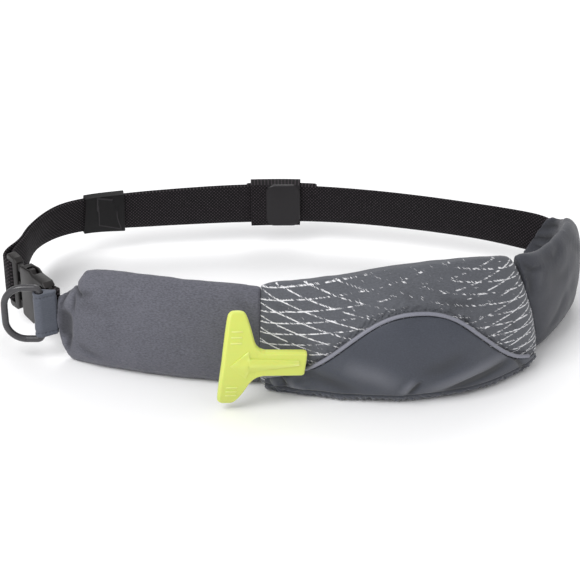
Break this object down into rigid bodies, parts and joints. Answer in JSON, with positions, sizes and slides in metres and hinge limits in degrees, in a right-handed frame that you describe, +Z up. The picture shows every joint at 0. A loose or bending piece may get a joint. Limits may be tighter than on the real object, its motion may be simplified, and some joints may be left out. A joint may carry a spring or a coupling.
{
  "type": "inflatable belt pack",
  "caption": "Inflatable waist belt pack with a padded fabric front, webbing belt, side-release buckle, D-ring and a T-shaped pull handle.",
  "frame": {"origin": "middle of the part's box in plan, on the floor that the padded front's bottom edges stand on", "axes": "+X to the wearer's left along the front, which is the part's longest extent, +Y from the front to the back of the waist, +Z up"},
  "size_m": [0.498, 0.2968, 0.1119],
  "materials": {
    "heather_cloth": "heathered graphite polyester",
    "printed_cloth": "graphite polyester with light printed dashes",
    "plain_cloth": "plain blue-grey polyester",
    "piping_cord": "light grey reflective piping",
    "webbing": "black woven webbing",
    "black_plastic": "satin black acetal",
    "grey_plastic": "satin grey nylon",
    "lime_plastic": "satin yellow-green moulded plastic"
  },
  "bodies": {
    "root": {"side_panel": "heather_cloth", "pouch": "printed_cloth", "side_wing": "heather_cloth", "lower_cover": "plain_cloth", "piping": "piping_cord", "belt_webbing": "webbing", "belt_keeper": "webbing", "belt_slide": "black_plastic", "anchor_strap": "webbing", "ring_tab": "heather_cloth", "d_ring": "grey_plastic", "handle_strap": "webbing", "pull_handle": "lime_plastic", "buckle_socket": "black_plastic", "buckle_plug": "black_plastic"}
  },
  "joints": []
}
